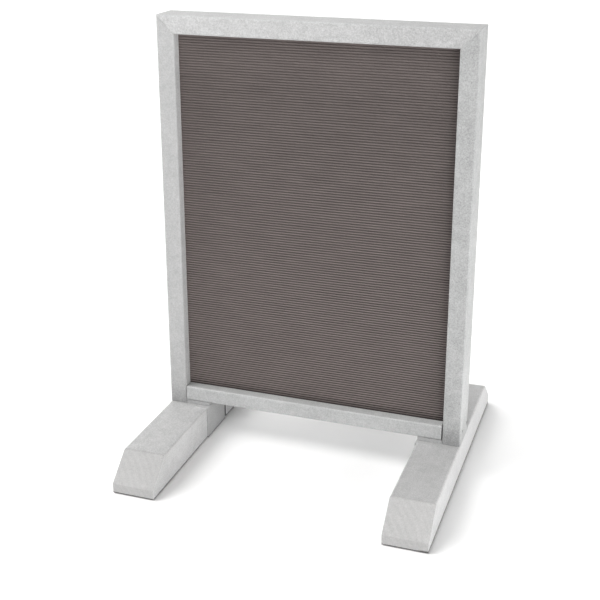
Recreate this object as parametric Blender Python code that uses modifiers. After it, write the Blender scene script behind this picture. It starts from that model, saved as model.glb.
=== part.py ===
"""Free-standing two-sided letter board sign.

A frame of square-sawn plastic lumber, mitred at its two top corners, stands on
two heavy feet. A grooved letter board fills each side of the frame, with a
plain panel between the two. Metres, +Z up, front towards -Y, origin on the
floor under the middle of the sign.
"""

import math

import bpy
from mathutils import Matrix, Vector

# ---------------------------------------------------------------- dimensions
GAP = 0.0003  # clearance between pieces that touch

FRAME_W = 0.773  # over both stiles
FRAME_D = 0.089  # depth of every frame member
FRAME_TOP = 1.098  # top of the sign above the floor
MEMBER = 0.045  # face width of the stiles and of the top rail
ARRIS = 0.0045  # radius of the long edges of the lumber

FOOT_W = 0.107
FOOT_H = 0.086
FOOT_L = 0.760
FOOT_ARRIS = 0.005
FOOT_LOW_ARRIS = 0.4  # share of it on the two long edges at the floor
NOSE_H = 0.026  # upright part of a foot's end
CHAMFER_RUN = 0.070  # length of the sloping part, seen from above

RAIL_GAP = 0.010  # under the bottom rail, above the feet
RAIL_H = 0.039
RAIL_CLEAR_LEFT = 0.0006  # hairline at the rail's left end
RAIL_CLEAR_RIGHT = 0.0024  # open joint at its right end
PACKER_BACK = 0.002  # the packers under its ends stand back from its faces

PANEL_T = 0.035  # both letter boards and the panel between them
PANEL_INSET = 0.009  # how far they reach into the frame
BOARD_T = 0.0088
PITCH = 0.00635  # from groove to groove
GROOVE_W = 0.0026
GROOVE_FLOOR_W = 0.0021
GROOVE_DEPTH = 0.0031

BLOCK_L = 0.1143  # block let into the inner side of each foot
BLOCK_IN = 0.030
BLOCK_OUT = 0.003
BLOCK_GAP_REAR = 0.013

KEY_T, KEY_ACROSS, KEY_L = 0.004, 0.024, 0.060
KEY_FROM_CORNER = 0.027  # along the mitre, from its outer corner

RAIL_SCREW_Y = (-0.015, 0.031)
RAIL_SCREW_Z = 0.1155
RAIL_SCREW_L = 0.075
LAG_Y = (-0.030, 0.012)
LAG_L = 0.112
LAG_SEAT = 0.022  # depth of the counterbore under the foot
WASHER_T = 0.0019
LAG_HEAD_DROP = GAP + WASHER_T + GAP  # top of the bolt's head below that seat

HALF_W = FRAME_W / 2
HALF_D = FRAME_D / 2
STILE_MID = HALF_W - MEMBER / 2
OPEN_X = HALF_W - MEMBER  # half width of the opening
RAIL_BOTTOM = FOOT_H + RAIL_GAP
RAIL_TOP = RAIL_BOTTOM + RAIL_H
PANEL_X = OPEN_X + PANEL_INSET
PANEL_LOW = RAIL_TOP - PANEL_INSET
PANEL_HIGH = FRAME_TOP - MEMBER + PANEL_INSET

# --------------------------------------------------------------------- scene
for old in list(bpy.data.objects):
    bpy.data.objects.remove(old, do_unlink=True)

SIGN = bpy.data.collections.new("letter_board_sign")
CUTTERS = bpy.data.collections.new("cutters")
for made in (SIGN, CUTTERS):
    bpy.context.scene.collection.children.link(made)
CUTTERS.hide_render = True

base = bpy.data.objects.new("sign", None)
SIGN.objects.link(base)


def material(name, colour, roughness, metallic=0.0):
    made = bpy.data.materials.new(name)
    made.use_nodes = True
    shader = made.node_tree.nodes["Principled BSDF"]
    shader.inputs["Base Color"].default_value = (*colour, 1.0)
    shader.inputs["Roughness"].default_value = roughness
    shader.inputs["Metallic"].default_value = metallic
    return made


LUMBER = material("grey_plastic_lumber", (0.56, 0.56, 0.56), 0.62)
LUMBER_FOOT = material("grey_plastic_lumber_foot", (0.53, 0.53, 0.53), 0.66)
BOARD = material("letter_board_taupe", (0.155, 0.132, 0.125), 0.75)
PANEL = material("panel_dark", (0.06, 0.06, 0.06), 0.8)
STEEL = material("stainless_steel", (0.62, 0.62, 0.60), 0.35, 1.0)
KEY = material("key_plastic", (0.30, 0.30, 0.30), 0.6)


# ------------------------------------------------------------------- helpers
def keep(obj, look):
    """Puts a finished piece in the sign's collection, with its material."""
    for owner in list(obj.users_collection):
        owner.objects.unlink(obj)
    SIGN.objects.link(obj)
    obj.parent = base
    if look is not None:
        obj.data.materials.clear()
        obj.data.materials.append(look)
    return obj


def cutter(obj):
    for owner in list(obj.users_collection):
        owner.objects.unlink(obj)
    CUTTERS.objects.link(obj)
    obj.hide_render = True
    obj.display_type = "WIRE"
    return obj


def box(name, low, high):
    """A box between two corners, from the cube primitive, scale applied."""
    low, high = Vector(low), Vector(high)
    bpy.ops.mesh.primitive_cube_add(size=1.0, location=(0, 0, 0))
    obj = bpy.context.object
    obj.name = name
    obj.data.name = name
    size = high - low
    obj.data.transform(Matrix.Diagonal((*size, 1.0)))
    obj.location = (low + high) / 2
    return obj


def ease(obj, radius, along, ends=0.0, segments=3, low=1.0):
    """Rounds the edges that run along one axis, the lowest of them by the share
    low, and the other edges by the share ends."""
    mesh = obj.data
    weights = mesh.attributes.new("bevel_weight_edge", "FLOAT", "EDGE")
    for edge in mesh.edges:
        a, b = (mesh.vertices[i].co for i in edge.vertices)
        runs = max(range(3), key=lambda k: abs(a[k] - b[k]))
        share = low if a.z < 0 and b.z < 0 else 1.0
        weights.data[edge.index].value = share if runs == along else ends
    bevel = obj.modifiers.new("arris", "BEVEL")
    bevel.limit_method = "WEIGHT"
    bevel.offset_type = "OFFSET"
    bevel.width = radius
    bevel.segments = segments
    bevel.use_clamp_overlap = True
    return obj


def cut(obj, tool, operation="DIFFERENCE"):
    boolean = obj.modifiers.new(tool.name, "BOOLEAN")
    boolean.object = tool
    boolean.operation = operation
    boolean.solver = "EXACT"


def beyond(name, point, normal, size=0.5):
    """A cutter that takes away everything past a plane."""
    point, normal = Vector(point), Vector(normal).normalized()
    bpy.ops.mesh.primitive_cube_add(size=size, location=point + normal * size / 2)
    obj = bpy.context.object
    obj.name = name
    obj.rotation_euler = normal.to_track_quat("Z", "Y").to_euler()
    return cutter(obj)


def turned(name, profile, steps=24):
    """A turned shape from (radius, height) points, top to bottom on the outside."""
    mesh = bpy.data.meshes.new(name)
    points = [(r, 0.0, z) for r, z in profile]
    mesh.from_pydata(points, [(i, i + 1) for i in range(len(points) - 1)], [])
    obj = bpy.data.objects.new(name, mesh)
    bpy.context.scene.collection.objects.link(obj)
    screw = obj.modifiers.new("turn", "SCREW")
    screw.steps = screw.render_steps = steps
    screw.use_merge_vertices = True
    screw.merge_threshold = 0.00001
    return obj


def smooth(obj, degrees=35):
    obj.data.shade_smooth()
    obj.data.set_sharp_from_angle(angle=math.radians(degrees))


def prism(name, sides, radius, low, high):
    bpy.ops.mesh.primitive_cylinder_add(
        vertices=sides,
        radius=radius,
        depth=high - low,
        end_fill_type="NGON",
        location=(0, 0, (low + high) / 2),
    )
    obj = bpy.context.object
    obj.name = name
    return obj


# ----------------------------------------------------------- shared cutters
# The pocket that the letter boards stand in, ploughed round the whole frame.
POCKET = cutter(
    box(
        "panel_pocket",
        (-PANEL_X - 0.001, -PANEL_T / 2 - 0.0004, PANEL_LOW - GAP),
        (PANEL_X + 0.001, PANEL_T / 2 + 0.0004, PANEL_HIGH + 0.001),
    )
)


def mitre(side, keeps):
    """The plane of a top corner's mitre. The stile keeps what is below it."""
    corner = Vector((side * HALF_W, 0, FRAME_TOP))
    normal = Vector((-side, 0, 1)).normalized()
    if keeps == "rail":
        normal = -normal
    return beyond(f"mitre_{keeps}_{side:+d}", corner - normal * 0.0002, normal)


def key_place(side):
    """Centre of a corner key, and the angle that lays it across the mitre."""
    along = Vector((-side, 0, -1)).normalized()
    corner = Vector((side * HALF_W, 0, FRAME_TOP))
    return corner + along * KEY_FROM_CORNER, -side * math.radians(45)


def key_box(name, side, grow):
    centre, turn = key_place(side)
    half = Vector((KEY_ACROSS, KEY_L, KEY_T)) / 2 + Vector((grow, grow, grow))
    obj = box(name, -half, half)
    obj.location = centre
    obj.rotation_euler = (0, turn, 0)
    return obj


# Countersunk screw through a stile into the bottom rail's end: head at z = 0.
def rail_screw_profile(grow):
    top = 0.002 if grow else 0.0
    return [
        (0.0, top),
        (0.0047 + grow, top),
        (0.0047 + grow, -0.0006),
        (0.0026 + grow, -0.0040),
        (0.0026 + grow, -RAIL_SCREW_L + 0.008),
        (0.0009 + grow, -RAIL_SCREW_L - grow),
        (0.0, -RAIL_SCREW_L - grow),
    ]


# Lag bolt up through a foot into a stile: under side of its head at z = 0.
def lag_bore_profile():
    return [
        (0.0, LAG_L + 0.001),
        (0.0020, LAG_L + 0.001),
        (0.0043, LAG_L - 0.010),
        (0.0043, LAG_HEAD_DROP),
        (0.0120, LAG_HEAD_DROP),
        (0.0120, -0.060),
        (0.0, -0.060),
    ]


def place_screw(obj, side, y):
    """Axis along X, head just under the outer face of the stile."""
    obj.location = (side * (HALF_W - 0.0006), y, RAIL_SCREW_Z)
    obj.rotation_euler = (0, side * math.pi / 2, 0)
    return obj


# ------------------------------------------------------- the frame's members
SIDES = {"left": -1, "right": 1}
SCREW_ENDS = dict(zip(("front", "rear"), RAIL_SCREW_Y))
LAG_ENDS = dict(zip(("front", "rear"), LAG_Y))

screw_bores, lag_bores, key_slots = {}, {}, {}
for where, side in SIDES.items():
    for end, y in SCREW_ENDS.items():
        bore = turned(f"rail_screw_bore_{where}_{end}", rail_screw_profile(GAP))
        screw_bores[where, end] = cutter(place_screw(bore, side, y))
    for end, y in LAG_ENDS.items():
        bore = turned(f"foot_lag_bore_{where}_{end}", lag_bore_profile())
        bore.location = (side * STILE_MID, y, LAG_SEAT - LAG_HEAD_DROP)
        lag_bores[where, end] = cutter(bore)
    key_slots[where] = cutter(key_box(f"key_slot_{where}", side, GAP))

for where, side in SIDES.items():
    inner, outer = sorted((side * OPEN_X, side * HALF_W), key=abs)
    stile = box(
        f"stile_{where}",
        (min(inner, outer), -HALF_D, FOOT_H + GAP),
        (max(inner, outer), HALF_D, FRAME_TOP),
    )
    ease(stile, ARRIS, along=2)
    cut(stile, mitre(side, "stile"))
    cut(stile, POCKET)
    cut(stile, key_slots[where])
    for end in SCREW_ENDS:
        cut(stile, screw_bores[where, end])
    for end in LAG_ENDS:
        cut(stile, lag_bores[where, end])
    keep(stile, LUMBER)

top_rail = box(
    "top_rail",
    (-HALF_W, -HALF_D, FRAME_TOP - MEMBER),
    (HALF_W, HALF_D, FRAME_TOP),
)
ease(top_rail, ARRIS, along=0)
cut(top_rail, POCKET)
for where, side in SIDES.items():
    cut(top_rail, mitre(side, "rail"))
    cut(top_rail, key_slots[where])
keep(top_rail, LUMBER)

bottom_rail = box(
    "bottom_rail",
    (-OPEN_X + RAIL_CLEAR_LEFT, -HALF_D, RAIL_BOTTOM),
    (OPEN_X - RAIL_CLEAR_RIGHT, HALF_D, RAIL_TOP),
)
ease(bottom_rail, ARRIS, along=0, ends=0.45)
cut(bottom_rail, POCKET)
for tool in screw_bores.values():
    cut(bottom_rail, tool)
keep(bottom_rail, LUMBER)

# --------------------------------------------------------------- letter boards
BOARD_H = PANEL_HIGH - PANEL_LOW
GROOVES = int(BOARD_H / PITCH)
MARGIN = (BOARD_H - GROOVES * PITCH) / 2


def board_outline():
    """Comb outline: depth from the grooved face (0) to the back, and height."""
    points = [(BOARD_T, 0.0), (BOARD_T, BOARD_H), (0.0, BOARD_H)]
    for n in reversed(range(GROOVES)):
        middle = MARGIN + (n + 0.5) * PITCH
        points += [
            (0.0, middle + GROOVE_W / 2),
            (GROOVE_DEPTH, middle + GROOVE_FLOOR_W / 2),
            (GROOVE_DEPTH, middle - GROOVE_FLOOR_W / 2),
            (0.0, middle - GROOVE_W / 2),
        ]
    return points + [(0.0, 0.0)]


outline = bpy.data.curves.new("letter_board", "CURVE")
outline.dimensions = "2D"
outline.fill_mode = "BOTH"
outline.extrude = PANEL_X
spline = outline.splines.new("POLY")
comb = board_outline()
spline.points.add(len(comb) - 1)
for point, (depth, height) in zip(spline.points, comb):
    point.co = (depth, height, 0.0, 1.0)
spline.use_cyclic_u = True
outline.materials.append(BOARD)

for where, side in (("front", -1), ("rear", 1)):
    board = bpy.data.objects.new(f"letter_board_{where}", outline)
    board.location = (0, side * PANEL_T / 2, PANEL_LOW)
    board.rotation_euler = (math.pi / 2, 0, -side * math.pi / 2)
    SIGN.objects.link(board)
    board.parent = base

panel_half = PANEL_T / 2 - BOARD_T - GAP
backer = box(
    "backer_panel",
    (-PANEL_X, -panel_half, PANEL_LOW),
    (PANEL_X, panel_half, PANEL_HIGH),
)
ease(backer, 0.001, along=0, ends=1.0, segments=1)
keep(backer, PANEL)

# ------------------------------------------------------------------- corner keys
for where, side in SIDES.items():
    key = key_box(f"corner_key_{where}", side, 0.0)
    ease(key, 0.0006, along=1, ends=1.0, segments=1)
    keep(key, KEY)

# -------------------------------------------------------------------------- feet
for where, side in SIDES.items():
    outer = side * HALF_W
    inner = side * (HALF_W - FOOT_W)
    foot = box(
        f"foot_{where}",
        (min(inner, outer), -FOOT_L / 2, 0.0),
        (max(inner, outer), FOOT_L / 2, FOOT_H),
    )
    ease(foot, FOOT_ARRIS, along=1, low=FOOT_LOW_ARRIS)
    for facing in (-1, 1):
        slope = Vector((0, facing * (FOOT_H - NOSE_H), CHAMFER_RUN)).normalized()
        nose = Vector((side * (HALF_W - FOOT_W / 2), facing * FOOT_L / 2, NOSE_H))
        cut(foot, beyond(f"foot_slope_{where}_{facing:+d}", nose, slope, 0.3))

    notch_y = (-BLOCK_L / 2 - 0.0004, BLOCK_L / 2 + BLOCK_GAP_REAR)
    block_x = (inner + side * BLOCK_IN, inner - side * BLOCK_OUT)
    notch_x = (block_x[0] + side * GAP, inner - side * 0.05)
    notch = box(
        f"block_notch_{where}",
        (min(notch_x), notch_y[0], -0.02),
        (max(notch_x), notch_y[1], FOOT_H + 0.02),
    )
    cut(foot, cutter(notch))
    for end in LAG_ENDS:
        cut(foot, lag_bores[where, end])
    keep(foot, LUMBER_FOOT)

    block = box(
        f"foot_block_{where}",
        (min(block_x), -BLOCK_L / 2, 0.0),
        (max(block_x), BLOCK_L / 2, FOOT_H - 0.0006),
    )
    ease(block, 0.002, along=2, ends=0.6, segments=2)
    keep(block, LUMBER_FOOT)

    packer_x = (inner, side * (OPEN_X - GAP))
    packer = box(
        f"rail_packer_{where}",
        (min(packer_x), -HALF_D + PACKER_BACK, FOOT_H + GAP),
        (max(packer_x), HALF_D - PACKER_BACK, RAIL_BOTTOM - GAP),
    )
    ease(packer, 0.0012, along=1, ends=0.8, segments=2)
    keep(packer, LUMBER)

# --------------------------------------------------------------------- fasteners
for where, side in SIDES.items():
    for end, y in SCREW_ENDS.items():
        screw = turned(f"rail_screw_{where}_{end}", rail_screw_profile(0.0))
        place_screw(screw, side, y)
        socket = prism(f"drive_{where}_{end}", 6, 0.0021, -0.0024, 0.004)
        cut(screw, cutter(place_screw(socket, side, y)))
        keep(screw, STEEL)
        smooth(screw)

    for end, y in LAG_ENDS.items():
        x, seat = side * STILE_MID, LAG_SEAT
        washer = turned(
            f"foot_washer_{where}_{end}",
            [
                (0.0046, WASHER_T),
                (0.0100, WASHER_T),
                (0.0104, WASHER_T - 0.0004),
                (0.0104, 0.0004),
                (0.0100, 0.0),
                (0.0046, 0.0),
                (0.0046, WASHER_T),
            ],
        )
        washer.location = (x, y, seat - GAP - WASHER_T)
        keep(washer, STEEL)
        smooth(washer)

        lag = turned(
            f"foot_lag_{where}_{end}",
            [
                (0.0, LAG_L),
                (0.0012, LAG_L),
                (0.0039, LAG_L - 0.011),
                (0.0039, -0.0030),
                (0.0, -0.0030),
            ],
        )
        lag.location = (x, y, seat - LAG_HEAD_DROP)
        head = prism(f"lag_head_{where}_{end}", 6, 0.0075, -0.0056, 0.0)
        head.location = lag.location + Vector((0, 0, -0.0028))
        cut(lag, cutter(head), "UNION")
        keep(lag, STEEL)
        smooth(lag)
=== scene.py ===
import math

import bmesh
import bpy
from mathutils import Matrix, Vector, noise


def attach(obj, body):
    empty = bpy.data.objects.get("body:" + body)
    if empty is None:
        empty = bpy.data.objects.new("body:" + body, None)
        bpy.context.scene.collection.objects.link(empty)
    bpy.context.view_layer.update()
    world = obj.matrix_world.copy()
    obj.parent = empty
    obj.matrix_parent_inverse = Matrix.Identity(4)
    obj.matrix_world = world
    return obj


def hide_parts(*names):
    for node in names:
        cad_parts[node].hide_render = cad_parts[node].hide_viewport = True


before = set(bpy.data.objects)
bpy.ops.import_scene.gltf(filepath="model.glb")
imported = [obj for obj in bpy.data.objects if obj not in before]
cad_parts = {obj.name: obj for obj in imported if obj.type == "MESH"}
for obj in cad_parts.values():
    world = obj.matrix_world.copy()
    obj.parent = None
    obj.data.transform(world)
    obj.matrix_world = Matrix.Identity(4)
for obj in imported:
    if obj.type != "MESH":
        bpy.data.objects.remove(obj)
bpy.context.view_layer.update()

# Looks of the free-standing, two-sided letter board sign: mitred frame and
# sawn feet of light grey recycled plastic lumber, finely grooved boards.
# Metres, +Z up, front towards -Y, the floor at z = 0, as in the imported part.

# ---------------------------------------------------------------- dimensions
GAP = 0.0003
HALF_W, HALF_D, TOP = 0.3865, 0.0445, 1.098
MEMBER, ARRIS = 0.045, 0.0045
OPEN_X = HALF_W - MEMBER
STILE_MID = HALF_W - MEMBER / 2
STILE_FOOT = 0.0863
RAIL_LOW, RAIL_HIGH = 0.096, 0.135
RAIL_LEFT, RAIL_RIGHT = -OPEN_X + 0.0006, OPEN_X - 0.0024
RAIL_END = 0.0020  # rounding of the bottom rail's ends
# From the mitre's plane, measured along the member, and the sanded edge beside it.
MITRE_GAP = {-1: 0.00012, 1: 0.00004}
MITRE_EASE = {-1: 0.0006, 1: 0.0002}

PANEL_X, PANEL_LOW, PANEL_HIGH = 0.3505, 0.126, 1.062
PANEL_HALF_T, BOARD_T = 0.0175, 0.0088
PITCH, GROOVES = 0.00635, 147
GROOVE_W, GROOVE_FLOOR_W, GROOVE_DEPTH = 0.0022, 0.0018, 0.0024
RIB_ROUND = 0.00105

FOOT_W, FOOT_H, FOOT_L = 0.107, 0.086, 0.760
FOOT_ARRIS, FOOT_EASE = 0.005, 0.0011
NOSE_H, SLOPE_RUN = 0.026, 0.070
SLOPE = math.atan2(FOOT_H - NOSE_H, SLOPE_RUN)
FOOT_UNDER = (0.010, 0.0027)  # how far in and how high its lowest edges are eased
BLOCK_X = (0.2765, 0.3095)
BLOCK_HALF, BLOCK_TOP = 0.05715, 0.0854
NOTCH_Y, NOTCH_X = (-0.05755, 0.07015), 0.3098
PACKER_X, PACKER_HALF, PACKER_Z = (0.2795, 0.3412), 0.0425, (0.08605, 0.0957)

KEY_T, KEY_ACROSS, KEY_L, KEY_FROM_CORNER = 0.004, 0.024, 0.060, 0.027
SCREW_Y, SCREW_Z, SCREW_L = (-0.015, 0.031), 0.1155, 0.075
LAG_Y, LAG_L, LAG_TOP = (-0.030, 0.012), 0.112, 0.0195

SIDES = {"left": -1, "right": 1}
ENDS = ("front", "rear")


# ------------------------------------------------------------ material tools
def add(tree, kind, props=None, **inputs):
    """A node, with its properties and inputs. An input is a socket or a value."""
    made = tree.nodes.new(kind)
    for key, value in (props or {}).items():
        setattr(made, key, value)
    for key, value in inputs.items():
        socket = made.inputs[int(key[1:]) if key[1:].isdigit() else key.replace("_", " ")]
        if isinstance(value, bpy.types.NodeSocket):
            tree.links.new(value, socket)
        else:
            socket.default_value = value
    return made


def new_look(name):
    look = bpy.data.materials.new(name)
    look.use_nodes = True
    return look, look.node_tree, look.node_tree.nodes["Principled BSDF"]


def math_node(tree, operation, a, b=0.0, c=0.0):
    made = add(tree, "ShaderNodeMath", {"operation": operation}, _0=a, _1=b, _2=c)
    return made.outputs[0]


def blend_colours(tree, factor, a, b):
    made = tree.nodes.new("ShaderNodeMix")
    made.data_type = "RGBA"
    for socket, value in ((made.inputs[0], factor), (made.inputs[6], a), (made.inputs[7], b)):
        if isinstance(value, bpy.types.NodeSocket):
            tree.links.new(value, socket)
        else:
            socket.default_value = value
    return made.outputs[2]


def moved(tree, coords, offset, scale=(1, 1, 1), turn=(0, 0, 0)):
    made = add(tree, "ShaderNodeMapping", None, Vector=coords)
    made.inputs["Location"].default_value = offset
    made.inputs["Rotation"].default_value = turn
    made.inputs["Scale"].default_value = scale
    return made.outputs[0]


def grain(tree, coords, scale, detail=2.0, rough=0.5):
    made = add(
        tree, "ShaderNodeTexNoise", None,
        Vector=coords, Scale=scale, Detail=detail, Roughness=rough,
    )
    return made.outputs[0]


def attribute(tree, name):
    made = add(tree, "ShaderNodeAttribute", {"attribute_name": name})
    return made.outputs["Fac"]


def weighted(tree, start, *terms):
    """start plus the sum of (pattern - 0.5) times weight."""
    total = start
    for pattern, weight in terms:
        total = math_node(tree, "MULTIPLY_ADD", math_node(tree, "SUBTRACT", pattern, 0.5), weight, total)
    return total


# ------------------------------------------------------------------ materials
def lumber(
    name, tone, seed, along, tint=(1.0, 1.0, 1.0), speckle=1.0, sawn=None, painted_top_shade=0.22, painted_base_shade=0.0, painted_light_gradient=None,
    painted_frame_shade=0.0, painted_shade=False,
):
    """Grey recycled plastic lumber: speckled all through, with faint lines along
    the stock. sawn is the saw's centre, for a face cut across the stock. The foot
    of an upright can get painted shade, less on its outer side, which gets a
    painted highlight a little above it. A painted gradient of light and shade can
    run along the stock, as (axis, change per metre). A piece that stands on the
    ground can get a painted contact shadow, a dark line along its lowest edge,
    higher on the outer side."""
    look, tree, shader = new_look(name)
    coords = add(tree, "ShaderNodeTexCoord").outputs["Object"]
    here = moved(tree, coords, (seed * 1.37, seed * 0.61, -seed * 0.83))
    lengthwise = [260.0, 260.0, 260.0]
    lengthwise[along] = 5.0
    lines = moved(tree, coords, (seed * 0.29, seed * 0.17, seed * 0.41), lengthwise)

    fine = grain(tree, here, 760.0, 3.0, 0.65)
    speck = grain(tree, here, 330.0, 2.0, 0.6)
    mottle = grain(tree, here, 46.0, 4.0, 0.55)
    cloud = grain(tree, here, 7.0, 2.0, 0.5)
    streak = grain(tree, lines, 1.0, 3.0, 0.6)
    flecks = add(tree, "ShaderNodeTexVoronoi", {"feature": "F1"}, Vector=here, Scale=240.0)
    fleck_size = add(
        tree, "ShaderNodeMapRange", None,
        Value=flecks.outputs["Distance"], From_Min=0.10, From_Max=0.24, To_Min=1.0, To_Max=0.0,
    ).outputs[0]
    fleck_kind = add(tree, "ShaderNodeSeparateColor", None, Color=flecks.outputs["Color"])
    few = math_node(tree, "GREATER_THAN", fleck_kind.outputs[0], 0.72)
    dark_or_light = math_node(tree, "SUBTRACT", fleck_kind.outputs[1], 0.62)
    fleck = math_node(
        tree, "MULTIPLY", math_node(tree, "MULTIPLY", fleck_size, few), dark_or_light
    )

    factor = weighted(
        tree, 0.5,
        (fine, 0.55 * speckle), (speck, 0.85 * speckle), (mottle, 0.38 * speckle),
        (cloud, 0.26), (streak, 0.20),
    )
    factor = math_node(tree, "MULTIPLY_ADD", fleck, 0.75 * speckle, factor)
    # Arrises painted lighter: partly wear, partly a painted highlight.
    arris = attribute(tree, "arris")
    factor = math_node(tree, "MULTIPLY_ADD", arris, 0.16, factor)
    # Painted shade on top faces; a negative amount paints a highlight there.
    factor = math_node(tree, "MULTIPLY_ADD", attribute(tree, "painted_top_shade"), -painted_top_shade, factor)
    place = add(tree, "ShaderNodeSeparateXYZ", None, Vector=coords).outputs
    # Painted shade at the foot of an upright, weaker on its outer side, which gets a painted highlight a little
    # higher up.
    if painted_base_shade:
        base_shade_mask = add(
            tree, "ShaderNodeMapRange", {"interpolation_type": "SMOOTHSTEP"},
            Value=math_node(tree, "MULTIPLY_ADD", mottle, -0.02, place["Z"]),
            From_Min=FOOT_H - 0.022, From_Max=FOOT_H + 0.072, To_Min=painted_base_shade, To_Max=0.0,
        ).outputs[0]
        kept = math_node(tree, "MULTIPLY_ADD", attribute(tree, "lit_outer_side"), -0.8, 1.0)
        base_shade_mask = math_node(tree, "MULTIPLY", base_shade_mask, kept)
        factor = math_node(tree, "SUBTRACT", factor, base_shade_mask)
        painted_highlight = attribute(tree, "lit_outer_side")
        for low, high, start, end in ((0.110, 0.170, 0.0, 1.0), (0.215, 0.360, 1.0, 0.0)):
            band = add(
                tree, "ShaderNodeMapRange", {"interpolation_type": "SMOOTHSTEP"},
                Value=place["Z"], From_Min=low, From_Max=high, To_Min=start, To_Max=end,
            ).outputs[0]
            painted_highlight = math_node(tree, "MULTIPLY", painted_highlight, band)
        factor = math_node(tree, "MULTIPLY_ADD", painted_highlight, 0.21, factor)
    # Painted shade near the frame.
    if painted_frame_shade:
        factor = math_node(tree, "MULTIPLY_ADD", attribute(tree, "painted_frame_shade"), -painted_frame_shade, factor)
    # A painted gradient of light and shade along one axis.
    if painted_light_gradient:
        factor = math_node(tree, "MULTIPLY_ADD", place["XYZ"[painted_light_gradient[0]]], painted_light_gradient[1], factor)

    height = weighted(tree, 0.0, (fine, 0.5), (speck, 0.7), (streak, 0.45))
    if sawn is not None:
        centre, kerf = sawn
        arcs_at = moved(tree, coords, tuple(-c for c in centre))
        arcs = add(
            tree, "ShaderNodeTexWave",
            {"wave_type": "RINGS", "rings_direction": "SPHERICAL", "wave_profile": "SIN"},
            Vector=arcs_at, Scale=kerf, Distortion=3.2, Detail=3.0, Detail_Scale=1.6,
            Detail_Roughness=0.62,
        ).outputs["Fac"]
        faded = grain(tree, here, 21.0, 2.0, 0.5)
        arcs = math_node(tree, "MULTIPLY", arcs, faded)
        factor = weighted(tree, factor, (arcs, -0.14))
        height = weighted(tree, height, (arcs, -0.5))
    factor = math_node(tree, "MINIMUM", math_node(tree, "MAXIMUM", factor, 0.0), 1.0)

    dark = tuple(tone * 0.66 * t for t in tint) + (1.0,)
    light = tuple(tone * 1.34 * t for t in tint) + (1.0,)
    colour = blend_colours(tree, factor, dark, light)
    # Painted contact shadow: a near-black line along the lowest edge, higher on the outer side.
    if painted_shade:
        contact_shade_top = math_node(
            tree, "MULTIPLY_ADD", attribute(tree, "base_shade_mask"), 0.0050, FOOT_UNDER[1] + 0.0014
        )
        contact_shade = add(
            tree, "ShaderNodeMapRange", {"interpolation_type": "SMOOTHSTEP"},
            Value=math_node(tree, "MULTIPLY_ADD", mottle, -0.0014, place["Z"]),
            From_Min=FOOT_UNDER[1] - 0.0001, From_Max=contact_shade_top, To_Min=1.0, To_Max=0.0,
        ).outputs[0]
        colour = blend_colours(tree, contact_shade, colour, (0.062, 0.060, 0.058, 1.0))
    tree.links.new(colour, shader.inputs["Base Color"])

    roughness = weighted(tree, 0.66, (mottle, 0.16), (fine, 0.18))
    roughness = math_node(tree, "MULTIPLY_ADD", arris, -0.06, roughness)
    tree.links.new(roughness, shader.inputs["Roughness"])
    shader.inputs["Specular IOR Level"].default_value = 0.34
    bump = add(tree, "ShaderNodeBump", None, Strength=0.55, Distance=0.00035, Height=height)
    tree.links.new(bump.outputs[0], shader.inputs["Normal"])
    return look


def board_look():
    """Matt taupe letter board: fibrous face, with painted shade down in the grooves,
    stronger towards the bottom, and painted light and shade along its edges."""
    look, tree, shader = new_look("letter_board_taupe")
    coords = add(tree, "ShaderNodeTexCoord").outputs["Object"]
    fibres = grain(tree, moved(tree, coords, (0, 0, 0), (520, 900, 1900)), 1.0, 3.0, 0.7)
    along = grain(tree, moved(tree, coords, (3, 1, 2), (16, 160, 157.48)), 1.0, 2.0, 0.5)
    patches = grain(tree, coords, 9.0, 3.0, 0.5)
    fuzz = grain(tree, coords, 1500.0, 2.0, 0.6)
    depth = attribute(tree, "groove")
    place = add(tree, "ShaderNodeSeparateXYZ", None, Vector=coords).outputs
    # Painted light and shade along the frame: lighter near the left and top edges, offsetting the frame's cast
    # shadow there, darker near the right and bottom edges.
    edges = 0.0
    for distance, reach, change in (
        (math_node(tree, "ADD", place["X"], OPEN_X), 0.060, 0.11),
        (math_node(tree, "SUBTRACT", OPEN_X, place["X"]), 0.028, -0.18),
        (math_node(tree, "SUBTRACT", TOP - MEMBER, place["Z"]), 0.140, 0.12),
        (math_node(tree, "SUBTRACT", place["Z"], RAIL_HIGH), 0.300, -0.02),
        (math_node(tree, "SUBTRACT", place["Z"], RAIL_HIGH), 0.022, -0.30),
    ):
        near = add(
            tree, "ShaderNodeMapRange", {"interpolation_type": "SMOOTHSTEP"},
            Value=distance, From_Min=0.0, From_Max=reach, To_Min=change, To_Max=0.0,
        ).outputs[0]
        edges = math_node(tree, "ADD", near, edges)
    # Painted shade down in the grooves, much stronger towards the bottom.
    painted_shade = add(
        tree, "ShaderNodeMapRange", None,
        Value=place["Z"], From_Min=RAIL_HIGH, From_Max=TOP - MEMBER, To_Min=-0.68, To_Max=-0.04,
    ).outputs[0]
    factor = weighted(tree, 0.430, (fibres, 0.60), (along, 0.26), (patches, 0.07), (fuzz, 0.35))
    factor = math_node(tree, "MULTIPLY_ADD", math_node(tree, "SUBTRACT", depth, 0.36), painted_shade, factor)
    factor = math_node(tree, "ADD", factor, edges)
    factor = math_node(tree, "MINIMUM", math_node(tree, "MAXIMUM", factor, 0.0), 1.0)
    tree.links.new(
        blend_colours(tree, factor, (0.0210, 0.0173, 0.0167, 1.0), (0.251, 0.2124, 0.2030, 1.0)),
        shader.inputs["Base Color"],
    )
    tree.links.new(weighted(tree, 0.78, (fuzz, 0.2)), shader.inputs["Roughness"])
    shader.inputs["Specular IOR Level"].default_value = 0.22
    height = weighted(tree, 0.0, (fibres, 0.6), (fuzz, 0.5))
    bump = add(tree, "ShaderNodeBump", None, Strength=0.5, Distance=0.00022, Height=height)
    tree.links.new(bump.outputs[0], shader.inputs["Normal"])
    return look


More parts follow.
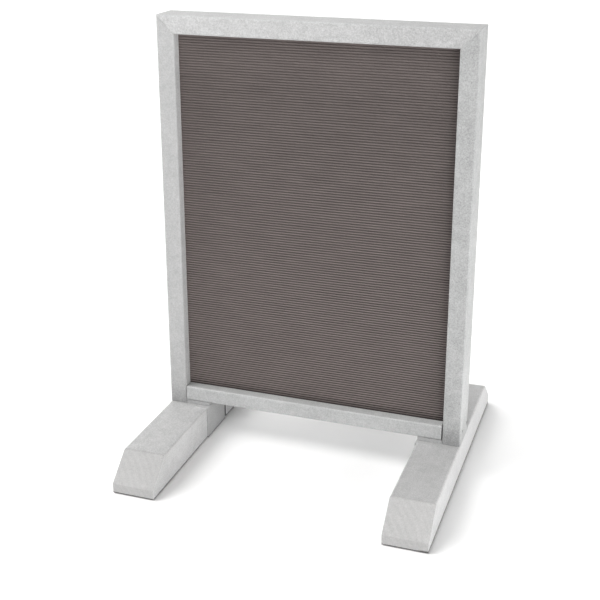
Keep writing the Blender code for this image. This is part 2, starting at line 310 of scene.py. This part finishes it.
def steel_look():
    """Dull stainless steel, its colour darkened as painted shade."""
    look, tree, shader = new_look("brushed_stainless_steel")
    coords = add(tree, "ShaderNodeTexCoord").outputs["Object"]
    brushed = grain(tree, moved(tree, coords, (0, 0, 0), (300, 2600, 2600)), 1.0, 2.0, 0.5)
    stains = grain(tree, coords, 190.0, 3.0, 0.6)
    factor = weighted(tree, 0.5, (brushed, 0.5), (stains, 0.9))
    # The dark base colour is painted shade.
    tree.links.new(
        blend_colours(tree, factor, (0.085, 0.084, 0.081, 1.0), (0.19, 0.188, 0.184, 1.0)),
        shader.inputs["Base Color"],
    )
    shader.inputs["Metallic"].default_value = 1.0
    shader.inputs["Specular Tint"].default_value = (0.42, 0.42, 0.41, 1.0)
    tree.links.new(weighted(tree, 0.36, (brushed, 0.2), (stains, 0.25)), shader.inputs["Roughness"])
    bump = add(tree, "ShaderNodeBump", None, Strength=0.3, Distance=0.00008, Height=brushed)
    tree.links.new(bump.outputs[0], shader.inputs["Normal"])
    return look


def plastic_look(name, dark, light, scale, rough):
    look, tree, shader = new_look(name)
    coords = add(tree, "ShaderNodeTexCoord").outputs["Object"]
    fine = grain(tree, coords, scale, 3.0, 0.6)
    wide = grain(tree, coords, scale / 30, 3.0, 0.5)
    factor = weighted(tree, 0.5, (fine, 0.8), (wide, 0.7))
    tree.links.new(blend_colours(tree, factor, dark, light), shader.inputs["Base Color"])
    tree.links.new(weighted(tree, rough, (fine, 0.2)), shader.inputs["Roughness"])
    bump = add(tree, "ShaderNodeBump", None, Strength=0.4, Distance=0.0002, Height=fine)
    tree.links.new(bump.outputs[0], shader.inputs["Normal"])
    return look


X, Y, Z = range(3)
COOL = (0.992, 1.0, 0.998)
WARM = (1.0, 0.992, 0.986)
# Each copy's tone was set to how bright its piece stands in this light, so the differences between these copies
# of one lumber are painted light and shade.
STILE_LEFT = lumber("lumber_stile_left", 0.402, 1.0, Z, speckle=1.15, painted_base_shade=0.42, painted_light_gradient=(Z, 0.15))
STILE_RIGHT = lumber("lumber_stile_right", 0.386, 2.3, Z, COOL, speckle=1.7, painted_base_shade=0.46)
TOP_RAIL = lumber(
    "lumber_top_rail", 0.467, 3.1, X, speckle=1.45, painted_top_shade=0.13, painted_light_gradient=(X, -0.30)
)
BOTTOM_RAIL = lumber("lumber_bottom_rail", 0.430, 4.7, X, COOL, speckle=1.25, painted_light_gradient=(X, -0.12))
FEET = {
    "left": lumber("lumber_foot_left", 0.546, 5.9, Y, speckle=1.1, painted_top_shade=0.34, painted_frame_shade=0.19, painted_shade=True),
    "right": lumber("lumber_foot_right", 0.515, 7.3, Y, speckle=1.1, painted_top_shade=0.25, painted_frame_shade=0.19, painted_shade=True),
}
SAWN = {
    "left": lumber(
        "lumber_sawn_left", 0.383, 6.4, Y, WARM, 0.7, sawn=((-0.47, -0.345, -0.09), 26.0), painted_shade=True
    ),
    "right": lumber(
        "lumber_sawn_right", 0.418, 8.2, Y, WARM, 0.7, sawn=((0.20, -0.345, -0.09), 26.0), painted_shade=True
    ),
}
BLOCKS = {
    "left": lumber("lumber_block_left", 0.357, 9.6, Y, painted_top_shade=-0.28, painted_shade=True),
    "right": lumber("lumber_block_right", 0.357, 10.8, Y, painted_top_shade=-0.28, painted_shade=True),
}
PACKER = lumber("lumber_packer", 0.400, 12.1, X)
# Near-black lumber: painted shade for the rear wall of each foot's notch.
NOTCH_SHADE = lumber("lumber_notch_painted_shade", 0.10, 13.4, Z)
BOARD = board_look()
STEEL = steel_look()
PANEL = plastic_look(
    "backer_panel_sheet", (0.028, 0.028, 0.030, 1.0), (0.070, 0.070, 0.072, 1.0), 900.0, 0.7
)
KEY = plastic_look(
    "corner_key_plastic", (0.22, 0.22, 0.22, 1.0), (0.36, 0.36, 0.36, 1.0), 700.0, 0.55
)


# ----------------------------------------------------------------- mesh tools
def solid(name, verts, faces):
    mesh = bpy.data.meshes.new(name)
    mesh.from_pydata(verts, [], faces)
    shape = bmesh.new()
    shape.from_mesh(mesh)
    bmesh.ops.recalc_face_normals(shape, faces=shape.faces)
    shape.to_mesh(mesh)
    shape.free()
    obj = bpy.data.objects.new(name, mesh)
    bpy.context.scene.collection.objects.link(obj)
    return obj


def sweep(name, rings):
    """A closed solid through rings that have equally many points."""
    count = len(rings[0])
    verts = [point for ring in rings for point in ring]
    faces = []
    for r in range(len(rings) - 1):
        for k in range(count):
            a, b = r * count + k, r * count + (k + 1) % count
            faces.append((a, b, b + count, a + count))
    faces.append(tuple(range(count)))
    faces.append(tuple(range((len(rings) - 1) * count, len(rings) * count)))
    return solid(name, verts, faces)


def turned(name, profile, steps=48):
    """A turned solid about Z, from (radius, height) points."""
    rings, verts, faces = [], [], []
    for radius, height in profile:
        if radius == 0.0:
            rings.append([len(verts)] * steps)
            verts.append((0.0, 0.0, height))
        else:
            rings.append(list(range(len(verts), len(verts) + steps)))
            for k in range(steps):
                a = 2 * math.pi * k / steps
                verts.append((radius * math.cos(a), radius * math.sin(a), height))
    for upper, lower in zip(rings, rings[1:]):
        for k in range(steps):
            j = (k + 1) % steps
            face = []
            for v in (upper[k], upper[j], lower[j], lower[k]):
                if v not in face:
                    face.append(v)
            if len(face) > 2:
                faces.append(tuple(face))
    return solid(name, verts, faces)


def brick(name, low, high):
    """A closed box, used only to cut with."""
    (x0, y0, z0), (x1, y1, z1) = low, high
    rings = [[(x0, y0, z), (x1, y0, z), (x1, y1, z), (x0, y1, z)] for z in (z0, z1)]
    return sweep(name, rings)


def ring_about_z(radius, height, sides=0, steps=48):
    """A circle's points, or those of a shape with so many sides, as many as a circle's."""
    points = []
    for k in range(steps):
        a = 2 * math.pi * k / steps
        r = radius
        if sides:
            half = math.pi / sides
            r *= math.cos(half) / math.cos(a % (2 * half) - half)
        points.append((r * math.cos(a), r * math.sin(a), height))
    return points


def carve(obj, *tools):
    """Cuts the tools out of obj and removes them."""
    for tool in tools:
        cut = obj.modifiers.new(tool.name, "BOOLEAN")
        cut.object = tool
        cut.operation = "DIFFERENCE"
        cut.solver = "EXACT"
    bpy.context.view_layer.update()
    graph = bpy.context.evaluated_depsgraph_get()
    made = bpy.data.meshes.new_from_object(
        obj.evaluated_get(graph), preserve_all_data_layers=True, depsgraph=graph
    )
    obj.modifiers.clear()
    old, obj.data = obj.data, made
    bpy.data.meshes.remove(old)
    for tool in tools:
        mesh = tool.data
        bpy.data.objects.remove(tool)
        bpy.data.meshes.remove(mesh)
    return obj


def mark(obj, name, value_at):
    """A number on each vertex, which the material reads."""
    layer = obj.data.attributes.new(name, "FLOAT", "POINT")
    for vertex in obj.data.vertices:
        layer.data[vertex.index].value = value_at(vertex.co)


def finished(obj, looks, nodes, sharp=34.0):
    """Smooth shading, material, and the CAD nodes that the piece stands for."""
    mesh = obj.data
    for look in looks[len(mesh.materials):]:
        mesh.materials.append(look)
    mesh.shade_smooth()
    mesh.set_sharp_from_angle(angle=math.radians(sharp))
    normals = obj.modifiers.new("even_normals", "WEIGHTED_NORMAL")
    normals.mode = "FACE_AREA"
    normals.keep_sharp = True
    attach(obj, "root")
    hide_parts(*nodes)
    return obj


def rounded(u0, u1, v0, v1, radius, inset=0.0, steps=8):
    """A rectangle with round corners, moved inwards by inset."""
    points = []
    u0, u1, v0, v1 = u0 + inset, u1 - inset, v0 + inset, v1 - inset
    r = radius - inset
    for cu, cv, start in (
        (u1 - r, v0 + r, -90), (u1 - r, v1 - r, 0), (u0 + r, v1 - r, 90), (u0 + r, v0 + r, 180)
    ):
        for k in range(steps + 1):
            a = math.radians(start + 90 * k / steps)
            points.append((cu + r * math.cos(a), cv + r * math.sin(a)))
    return points


def eased(radius, steps=4, last=84.0):
    """(inset, distance from the end) of rings that round off an end, cap first."""
    angles = [math.radians(last * (1 - k / steps)) for k in range(steps + 1)]
    return [(radius * (1 - math.cos(a)), radius * (1 - math.sin(a))) for a in angles]


def smoothstep(value, low, high):
    t = min(max((value - low) / (high - low), 0.0), 1.0)
    return t * t * (3 - 2 * t)


# ------------------------------------------------- tools shared by the joints
def rail_screw_profile(grow, head_top):
    return [
        (0.0, head_top),
        (0.0047 + grow, head_top),
        (0.0047 + grow, -0.0006),
        (0.0026 + grow, -0.0040),
        (0.0026 + grow, -SCREW_L + 0.008),
        (0.0009 + grow, -SCREW_L - grow),
        (0.0, -SCREW_L - grow),
    ]


def place_screw(obj, side, y):
    obj.matrix_world = Matrix.Translation((side * (HALF_W - 0.0006), y, SCREW_Z)) @ Matrix.Rotation(
        side * math.pi / 2, 4, "Y"
    )
    return obj


def screw_bores(side):
    return [
        place_screw(turned("screw_bore", rail_screw_profile(GAP, 0.002), 40), side, y)
        for y in SCREW_Y
    ]


def lag_bores(side):
    made = []
    for y in LAG_Y:
        bore = turned(
            "lag_bore",
            [
                (0.0, LAG_L + 0.001), (0.0020, LAG_L + 0.001), (0.0043, LAG_L - 0.010),
                (0.0043, 0.0025), (0.0120, 0.0025), (0.0120, -0.060), (0.0, -0.060),
            ],
            40,
        )
        bore.location = (side * STILE_MID, y, LAG_TOP)
        made.append(bore)
    return made


def pocket():
    return brick(
        "panel_pocket",
        (-PANEL_X - 0.001, -PANEL_HALF_T - 0.0004, PANEL_LOW - GAP),
        (PANEL_X + 0.001, PANEL_HALF_T + 0.0004, PANEL_HIGH + 0.001),
    )


def key_slot(side):
    half = Vector((KEY_ACROSS, KEY_L, KEY_T)) / 2 + Vector((GAP, GAP, GAP))
    slot = brick("key_slot", -half, half)
    along = Vector((-side, 0, -1)).normalized()
    centre = Vector((side * HALF_W, 0, TOP)) + along * KEY_FROM_CORNER
    slot.matrix_world = Matrix.Translation(centre) @ Matrix.Rotation(
        -side * math.radians(45), 4, "Y"
    )
    return slot


def near_arris(point, low, high, radius, axes):
    """1 in the middle of a rounded arris of a box, 0 on its flat faces."""
    gaps = sorted(min(point[a] - low[a], high[a] - point[a]) for a in axes)
    return max(0.0, 1.0 - (max(gaps[0], 0.0) + max(gaps[1], 0.0)) / (radius * 0.75))


# ------------------------------------------------------------------ the frame
for where, side in SIDES.items():
    rings = []
    for inset, along in eased(0.0006):
        rings.append(
            [
                (side * (OPEN_X + u), v, STILE_FOOT + along)
                for u, v in rounded(0, MEMBER, -HALF_D, HALF_D, ARRIS, inset)
            ]
        )
    for inset, along in reversed(eased(MITRE_EASE[side])):
        rings.append(
            [
                (side * (OPEN_X + u), v, TOP - (MEMBER - u) - MITRE_GAP[side] - along)
                for u, v in rounded(0, MEMBER, -HALF_D, HALF_D, ARRIS, inset)
            ]
        )
    stile = sweep(f"{where}_stile", rings)
    span = sorted((side * OPEN_X, side * HALF_W))
    mark(
        stile, "arris",
        lambda p: near_arris(p, (span[0], -HALF_D, 0), (span[1], HALF_D, 0), ARRIS, (X, Y)),
    )
    carve(stile, pocket(), key_slot(side), *screw_bores(side), *lag_bores(side))
    # The outer side: there the painted shade at the foot is weaker, with a painted highlight above it.
    mark(stile, "lit_outer_side", lambda p: smoothstep(abs(p.x), HALF_W - 0.6 * ARRIS, HALF_W - 0.0001))
    finished(
        stile, [STILE_LEFT if side < 0 else STILE_RIGHT], [f"stile_{where}"]
    )

rings = []
for end in (-1, 1):
    ring_set = []
    for inset, along in eased(MITRE_EASE[end]):
        ring_set.append(
            [
                (end * (HALF_W - (MEMBER - u) - MITRE_GAP[end] - along), v, TOP - MEMBER + u)
                for u, v in rounded(0, MEMBER, -HALF_D, HALF_D, ARRIS, inset)
            ]
        )
    rings += ring_set if end < 0 else ring_set[::-1]
top_rail = sweep("mitred_top_rail", rings)
mark(
    top_rail, "arris",
    lambda p: near_arris(p, (0, -HALF_D, TOP - MEMBER), (0, HALF_D, TOP), ARRIS, (Y, Z)),
)
# Painted shade along the top face.
mark(top_rail, "painted_top_shade", lambda p: smoothstep(p.z, TOP - 0.8 * ARRIS, TOP - 0.0002))
carve(top_rail, pocket(), key_slot(-1), key_slot(1))
finished(top_rail, [TOP_RAIL], ["top_rail"])

rings = []
for end, at in ((-1, RAIL_LEFT), (1, RAIL_RIGHT)):
    ring_set = []
    for inset, along in eased(RAIL_END, 6):
        ring_set.append(
            [
                (at - end * along, v, z)
                for z, v in rounded(RAIL_LOW, RAIL_HIGH, -HALF_D, HALF_D, ARRIS, inset)
            ]
        )
    rings += ring_set if end < 0 else ring_set[::-1]
bottom_rail = sweep("eased_bottom_rail", rings)
mark(
    bottom_rail, "arris",
    lambda p: near_arris(p, (0, -HALF_D, RAIL_LOW), (0, HALF_D, RAIL_HIGH), ARRIS, (Y, Z)),
)
carve(bottom_rail, pocket(), *screw_bores(-1), *screw_bores(1))
finished(bottom_rail, [BOTTOM_RAIL], ["bottom_rail"])


# ----------------------------------------------------------- the letter boards
def comb():
    """Cross-section of a board: (depth behind its face, height, groove)."""
    height = PANEL_HIGH - PANEL_LOW
    margin = (height - GROOVES * PITCH) / 2
    points = [(BOARD_T, 0.0, 0.0), (0.0003, 0.0, 0.0), (0.0, 0.0003, 0.0)]

    def corner(z, way):
        """Rounded edge of a rib, at a groove's mouth, from the face inwards."""
        made = []
        for k in range(5):
            a = math.radians(90 * k / 4)
            made.append(
                (
                    RIB_ROUND * (1 - math.cos(a)),
                    z + way * RIB_ROUND * (math.sin(a) - 1),
                    0.55 * (k / 4) ** 2,
                )
            )
        return made

    for n in range(GROOVES):
        middle = margin + (n + 0.5) * PITCH
        points += corner(middle - GROOVE_W / 2, 1)
        floor = GROOVE_FLOOR_W / 2
        points += [
            (GROOVE_DEPTH * 0.55, middle - GROOVE_W / 2 + 0.0001, 1.0),
            (GROOVE_DEPTH - 0.0003, middle - floor - 0.00002, 1.0),
            (GROOVE_DEPTH, middle - floor + 0.0003, 0.3),
            (GROOVE_DEPTH, middle + floor - 0.0003, 0.3),
            (GROOVE_DEPTH - 0.0003, middle + floor + 0.00002, 1.0),
            (GROOVE_DEPTH * 0.55, middle + GROOVE_W / 2 - 0.0001, 1.0),
        ]
        points += corner(middle + GROOVE_W / 2, -1)[::-1]
    points += [(0.0, height - 0.0003, 0.0), (0.0003, height, 0.0), (BOARD_T, height, 0.0)]
    return points


COMB = comb()
for where, side in (("front", -1), ("rear", 1)):
    board = sweep(
        f"{where}_letter_board",
        [
            [(x, side * (PANEL_HALF_T - depth), PANEL_LOW + z) for depth, z, _ in COMB]
            for x in (-PANEL_X, PANEL_X)
        ],
    )
    layer = board.data.attributes.new("groove", "FLOAT", "POINT")
    for k in range(2 * len(COMB)):
        layer.data[k].value = COMB[k % len(COMB)][2]
    finished(board, [BOARD], [f"letter_board_{where}"], sharp=48.0)


# ------------------------------------------------------------------- the feet
def foot_height(y):
    """Height of a foot's top at y, with the sawn edges eased."""
    y, start, r = abs(y), FOOT_L / 2 - SLOPE_RUN, FOOT_EASE
    bend = r * math.tan(SLOPE / 2)
    if y < start - bend:
        return FOOT_H
    if y < start + bend * math.cos(SLOPE):
        return FOOT_H - r + math.sqrt(max(r * r - (y - start + bend) ** 2, 0.0))

    def slope_at(at):
        return FOOT_H - (at - start) * math.tan(SLOPE)

    middle = FOOT_L / 2 - r
    if y < middle + r * math.sin(SLOPE):
        return slope_at(y)
    return slope_at(middle) - r / math.cos(SLOPE) + math.sqrt(max(r * r - (y - middle) ** 2, 0.0))


def saw_marks(x, q, facing, seed):
    """Depth that the saw left in a sloping end. q is the way down the slope."""
    centre = Vector((seed - 0.115 * facing, 0.052 + 0.165))
    away = Vector((x, q)) - centre
    reach, turn = away.length, math.atan2(away.y, away.x)
    coarse = noise.noise((reach * 150, seed * 9, turn * 1.5))
    middling = noise.noise((reach * 330, seed * 5 + 3, turn * 2.5))
    patch = 0.65 + 0.6 * noise.noise((x * 22, q * 22, seed * 7))
    return 0.00011 * patch * (coarse + 0.6 * middling) - 0.00008


def foot_stations():
    """Where a half foot's cross-sections lie, from its middle to its end."""
    start, r = FOOT_L / 2 - SLOPE_RUN, FOOT_EASE
    bend = r * math.tan(SLOPE / 2)
    made = [k * 0.0206 for k in range(16)]
    made += [start - bend + bend * (1 + math.cos(SLOPE)) * k / 4 for k in range(5)]
    made += [start + 0.0009 + 0.00075 * k for k in range(8)]
    sloping = FOOT_L / 2 - r - (start + 0.0072)
    made += [start + 0.0072 + sloping * k / 58 for k in range(59)]
    made += [
        FOOT_L / 2 - r + r * math.sin(math.radians(a)) for a in (14, 28, 40.6, 52, 63, 73, 84)
    ]
    return made


COLUMNS = 84


def foot_section(y, side, seed):
    """One cross-section of a foot, as points in the sign's frame."""
    h, r = foot_height(y), FOOT_ARRIS
    middle = FOOT_L / 2 - FOOT_EASE
    inset = 0.0
    if abs(y) > middle:
        inset = FOOT_EASE - math.sqrt(max(FOOT_EASE**2 - (abs(y) - middle) ** 2, 0.0))
    ease = FOOT_EASE - inset

    def top_corner():
        """From the top face to the outer side, as (s, z), with s outwards."""
        big_s, big_z = FOOT_W - r, FOOT_H - r
        small_z = h - ease
        lift = small_z - big_z
        if lift <= 0:
            small_s, turn = FOOT_W - inset - ease, 0.0
        else:
            reach = math.sqrt(max((r - ease) ** 2 - lift**2, 0.0))
            small_s, turn = big_s + reach, math.atan2(lift, reach)
        points = []
        for k in range(9):
            a = math.radians(90 - 90 * k / 8)
            if a >= turn:
                points.append((small_s + ease * math.cos(a), small_z + ease * math.sin(a)))
            else:
                points.append((big_s + (r - inset) * math.cos(a), big_z + (r - inset) * math.sin(a)))
        return points

    corner = top_corner()
    right = list(corner)
    under, low = FOOT_UNDER
    right += [(right[-1][0], right[-1][1] + (low - right[-1][1]) * k / 6) for k in range(1, 6)]
    past = max(abs(y) - (FOOT_L / 2 - under), 0.0) / under
    floor_z = low * (1 - math.sqrt(1 - past * past))
    for k in range(9):
        a = math.radians(-90 * k / 8)
        right.append(
            (
                FOOT_W - under + (under - inset) * math.cos(a),
                floor_z + (low - floor_z) * (1 + math.sin(a)),
            )
        )
    left = [(FOOT_W - s, z) for s, z in reversed(right)]
    bottom = [
        (right[-1][0] + (left[0][0] - right[-1][0]) * k / 8, right[-1][1]) for k in range(1, 8)
    ]
    top = [
        (left[-1][0] + (right[0][0] - left[-1][0]) * k / COLUMNS, h) for k in range(1, COLUMNS)
    ]
    start = FOOT_L / 2 - SLOPE_RUN
    down = (abs(y) - start) / math.cos(SLOPE)
    length = SLOPE_RUN / math.cos(SLOPE)
    facing = -1 if y < 0 else 1
    out = []
    for s, z in right + bottom + left:
        out.append((side * (HALF_W - FOOT_W + s), y, z))
    for s, z in top:
        x = side * (HALF_W - FOOT_W + s)
        edge = min(s, FOOT_W - s, down, length - down)
        fade = smoothstep(edge, 0.0025, 0.0075)
        if fade > 0:
            cut = fade * saw_marks(x, down, facing, seed)
            out.append((x, y + facing * math.sin(SLOPE) * cut, z + math.cos(SLOPE) * cut))
        else:
            out.append((x, y, z))
    return out


for where, side in SIDES.items():
    half = foot_stations()
    stations = [-y for y in reversed(half[1:])] + half
    seed = side * 0.333
    foot = sweep(f"{where}_foot", [foot_section(y, side, seed) for y in stations])
    span = sorted((side * HALF_W, side * (HALF_W - FOOT_W)))
    mark(
        foot, "arris",
        lambda p: near_arris(p, (span[0], 0, -1), (span[1], 0, FOOT_H), FOOT_ARRIS, (X, Z)),
    )
    # Painted shade on the top face, taken back behind the stile to offset the shadow the stile casts there.
    mark(
        foot, "painted_top_shade",
        lambda p: smoothstep(p.z, FOOT_H - 0.8 * FOOT_ARRIS, FOOT_H - 0.0002)
        * (1 - 0.55 * smoothstep(p.y, 0.05, 0.13)),
    )
    # The painted contact shadow climbs higher on the outer side.
    mark(foot, "base_shade_mask", lambda p: smoothstep(abs(p.x), HALF_W - 0.003, HALF_W - 0.0005))
    # Painted shade on the sides near the frame, and on the top in front of the rail.
    mark(
        foot, "painted_frame_shade",
        lambda p: max(
            smoothstep(-abs(p.y), -0.24, -0.06)
            * smoothstep(-abs(p.x), FOOT_W - HALF_W - 0.6 * FOOT_ARRIS, FOOT_W - HALF_W - 0.0001),
            0.6 * smoothstep(-abs(p.y), -0.0618, -0.0412) * smoothstep(p.z, FOOT_H - 0.002, FOOT_H),
        ),
    )
    foot.data.materials.append(FEET[where])
    foot.data.materials.append(SAWN[where])
    slope_y = FOOT_L / 2 - SLOPE_RUN
    for face in foot.data.polygons:
        on_slope = abs(face.center.y) > slope_y and face.normal.z > 0.5
        on_nose = abs(face.normal.y) > 0.9
        face.material_index = 1 if on_slope or on_nose else 0
    notch = brick(
        "notch",
        (min(side * NOTCH_X, side * 0.2295), NOTCH_Y[0], -0.02),
        (max(side * NOTCH_X, side * 0.2295), NOTCH_Y[1], FOOT_H + 0.02),
    )
    carve(foot, notch, *lag_bores(side))
    # The notch's rear wall gets the near-black lumber: painted shade.
    for face in foot.data.polygons:
        if abs(face.center.y - NOTCH_Y[1]) < 0.0001 and abs(face.center.x) < NOTCH_X:
            face.material_index = 2
    finished(foot, [FEET[where], SAWN[where], NOTCH_SHADE], [f"foot_{where}"])

    def block_ring(turn, lean, inset, z):
        """One level of the block, whose inner side leans in at its two ends."""
        bend = 1 - math.cos(turn)
        low_x = BLOCK_X[0] + (lean - inset) * bend
        return [
            (side * x, y, z)
            for x, y in rounded(
                low_x, BLOCK_X[1], -BLOCK_HALF, BLOCK_HALF, 0.0022, inset * bend, 6
            )
        ]

    turns = [math.radians(84 * (1 - k / 8)) for k in range(9)]
    low_rings = [
        block_ring(a, FOOT_UNDER[0], 0.0012, FOOT_UNDER[1] * (1 - math.sin(a))) for a in turns
    ]
    high_rings = [
        block_ring(a, 0.0030, 0.0004, BLOCK_TOP - 0.0036 * (1 - math.sin(a)))
        for a in reversed(turns)
    ]
    block = sweep(f"{where}_foot_block", low_rings + high_rings)
    mark(
        block, "arris",
        lambda p: near_arris(
            (abs(p.x), p.y, p.z), (BLOCK_X[0], -BLOCK_HALF, 0), (BLOCK_X[1], BLOCK_HALF, 0), 0.0022, (X, Y)
        ),
    )
    # A painted highlight along the block's top, whose amount is negative.
    mark(block, "painted_top_shade", lambda p: smoothstep(p.z, BLOCK_TOP - 0.0030, BLOCK_TOP - 0.0002))
    finished(block, [BLOCKS[where]], [f"foot_block_{where}"])

    ends = [(PACKER_X[0], 1, ring) for ring in eased(0.00025)]
    ends += [(PACKER_X[1], -1, ring) for ring in reversed(eased(0.00025))]
    packer = sweep(
        f"{where}_rail_packer",
        [
            [
                (side * (at + way * along), v, z)
                for z, v in rounded(*PACKER_Z, -PACKER_HALF, PACKER_HALF, 0.0003, inset, 4)
            ]
            for at, way, (inset, along) in ends
        ],
    )
    finished(packer, [PACKER], [f"rail_packer_{where}"])

# ------------------------------------------------------------------ fasteners
for where, side in SIDES.items():
    for end, y in zip(ENDS, SCREW_Y):
        rings = [
            ring_about_z(radius, height, sides)
            for radius, height, sides in (
                (0.00200, -0.0024, 6), (0.00205, -0.0023, 6), (0.00205, -0.00025, 6),
                (0.00222, -0.00005, 6), (0.00236, 0.0, 6),
            )
        ]
        outside = rail_screw_profile(0.0, 0.0)[2:-1]
        rings += [ring_about_z(*at) for at in [(0.0043, 0.0), (0.0046, -0.00008), (0.0047, -0.0003)]]
        rings += [ring_about_z(*at) for at in outside]
        screw = place_screw(sweep(f"{where}_{end}_rail_screw", rings), side, y)
        screw.data.transform(screw.matrix_world)
        screw.matrix_world = Matrix.Identity(4)
        finished(screw, [STEEL], [f"rail_screw_{where}_{end}"])

# The nodes that stay as packed are hidden inside the sign or under its feet.
for name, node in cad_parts.items():
    if node.hide_render:
        continue
    look = STEEL
    if name.startswith("backer"):
        look = PANEL
    elif name.startswith("corner_key"):
        look = KEY
    node.data.materials.clear()
    node.data.materials.append(look)


# ------------------------------------------------------ floor, light, camera
def floor_look():
    look, tree, shader = new_look("floor_white")
    shader.inputs["Base Color"].default_value = (0.955, 0.955, 0.955, 1.0)
    shader.inputs["Roughness"].default_value = 0.9
    shader.inputs["Specular IOR Level"].default_value = 0.1
    return look


floor = sweep(
    "floor",
    [
        [
            (30 * math.cos(2 * math.pi * k / 64), 30 * math.sin(2 * math.pi * k / 64), z)
            for k in range(64)
        ]
        for z in (-0.1, -0.0002)
    ],
)
floor.data.materials.append(floor_look())


def soft_light(name, azimuth, elevation, away, size, power, colour, target):
    """A round soft box. Azimuth 0 stands in front of the sign, 90 to its right."""
    a, e = math.radians(azimuth), math.radians(elevation)
    towards = Vector((math.sin(a) * math.cos(e), -math.cos(a) * math.cos(e), math.sin(e)))
    light = bpy.data.lights.new(name, "AREA")
    light.shape = "DISK"
    light.size = size
    light.energy = power
    light.color = colour
    obj = bpy.data.objects.new(name, light)
    obj.location = Vector(target) + towards * away
    obj.rotation_euler = (-towards).to_track_quat("-Z", "Y").to_euler()
    bpy.context.scene.collection.objects.link(obj)
    return obj


def soft_sun(name, azimuth, elevation, spread, strength, colour):
    """Light of equal strength all over the floor, from a wide soft source far away."""
    a, e = math.radians(azimuth), math.radians(elevation)
    towards = Vector((math.sin(a) * math.cos(e), -math.cos(a) * math.cos(e), math.sin(e)))
    light = bpy.data.lights.new(name, "SUN")
    light.angle = math.radians(spread)
    light.energy = strength
    light.color = colour
    obj = bpy.data.objects.new(name, light)
    obj.rotation_euler = (-towards).to_track_quat("-Z", "Y").to_euler()
    bpy.context.scene.collection.objects.link(obj)
    return obj


NEUTRAL = (1.0, 0.997, 0.992)
soft_sun("key_left", -72, 50, 45, 2.70, NEUTRAL)
soft_sun("front_high", 8, 54, 45, 0.81, NEUTRAL)
soft_sun("front_right", 60, 15, 25, 0.85, NEUTRAL)
soft_sun("rear_left", -150, 50, 45, 1.04, NEUTRAL)
soft_light("low_right", 84, 5, 1.6, 0.7, 12.3, NEUTRAL, (0.35, 0.0, 0.1))

# The studio's walls are white near the floor and darken towards the ceiling.
world = bpy.data.worlds.new("studio")
world.use_nodes = True
tree = world.node_tree
upwards = add(
    tree, "ShaderNodeSeparateXYZ", None,
    Vector=add(tree, "ShaderNodeTexCoord").outputs["Generated"],
).outputs["Z"]
above_walls, ceiling = (
    add(
        tree, "ShaderNodeMapRange", {"interpolation_type": "SMOOTHSTEP"},
        Value=upwards, From_Min=low, From_Max=high, To_Min=0.0, To_Max=drop,
    ).outputs[0]
    for low, high, drop in ((0.17, 0.42, 0.88), (0.60, 0.80, 0.08))
)
brightness = math_node(tree, "SUBTRACT", math_node(tree, "SUBTRACT", 1.0, above_walls), ceiling)
sky = tree.nodes["Background"]
sky.inputs["Color"].default_value = (0.985, 0.993, 1.0, 1.0)
tree.links.new(brightness, sky.inputs["Strength"])
bpy.context.scene.world = world
bpy.context.scene.view_settings.view_transform = "Standard"

camera_data = bpy.data.cameras.new("camera")
camera_data.sensor_width = 36.0
camera_data.lens = 66.6
camera_data.shift_y = -0.10
camera_data.clip_end = 100.0
camera = bpy.data.objects.new("camera", camera_data)
camera.location = (0.794, -2.443, 1.437)
camera.rotation_euler = (math.radians(90 - 18.78), 0.0, math.radians(18.87))
bpy.context.scene.collection.objects.link(camera)
bpy.context.scene.camera = camera

# ------------------------------------------------------------------- update
bpy.context.view_layer.update()
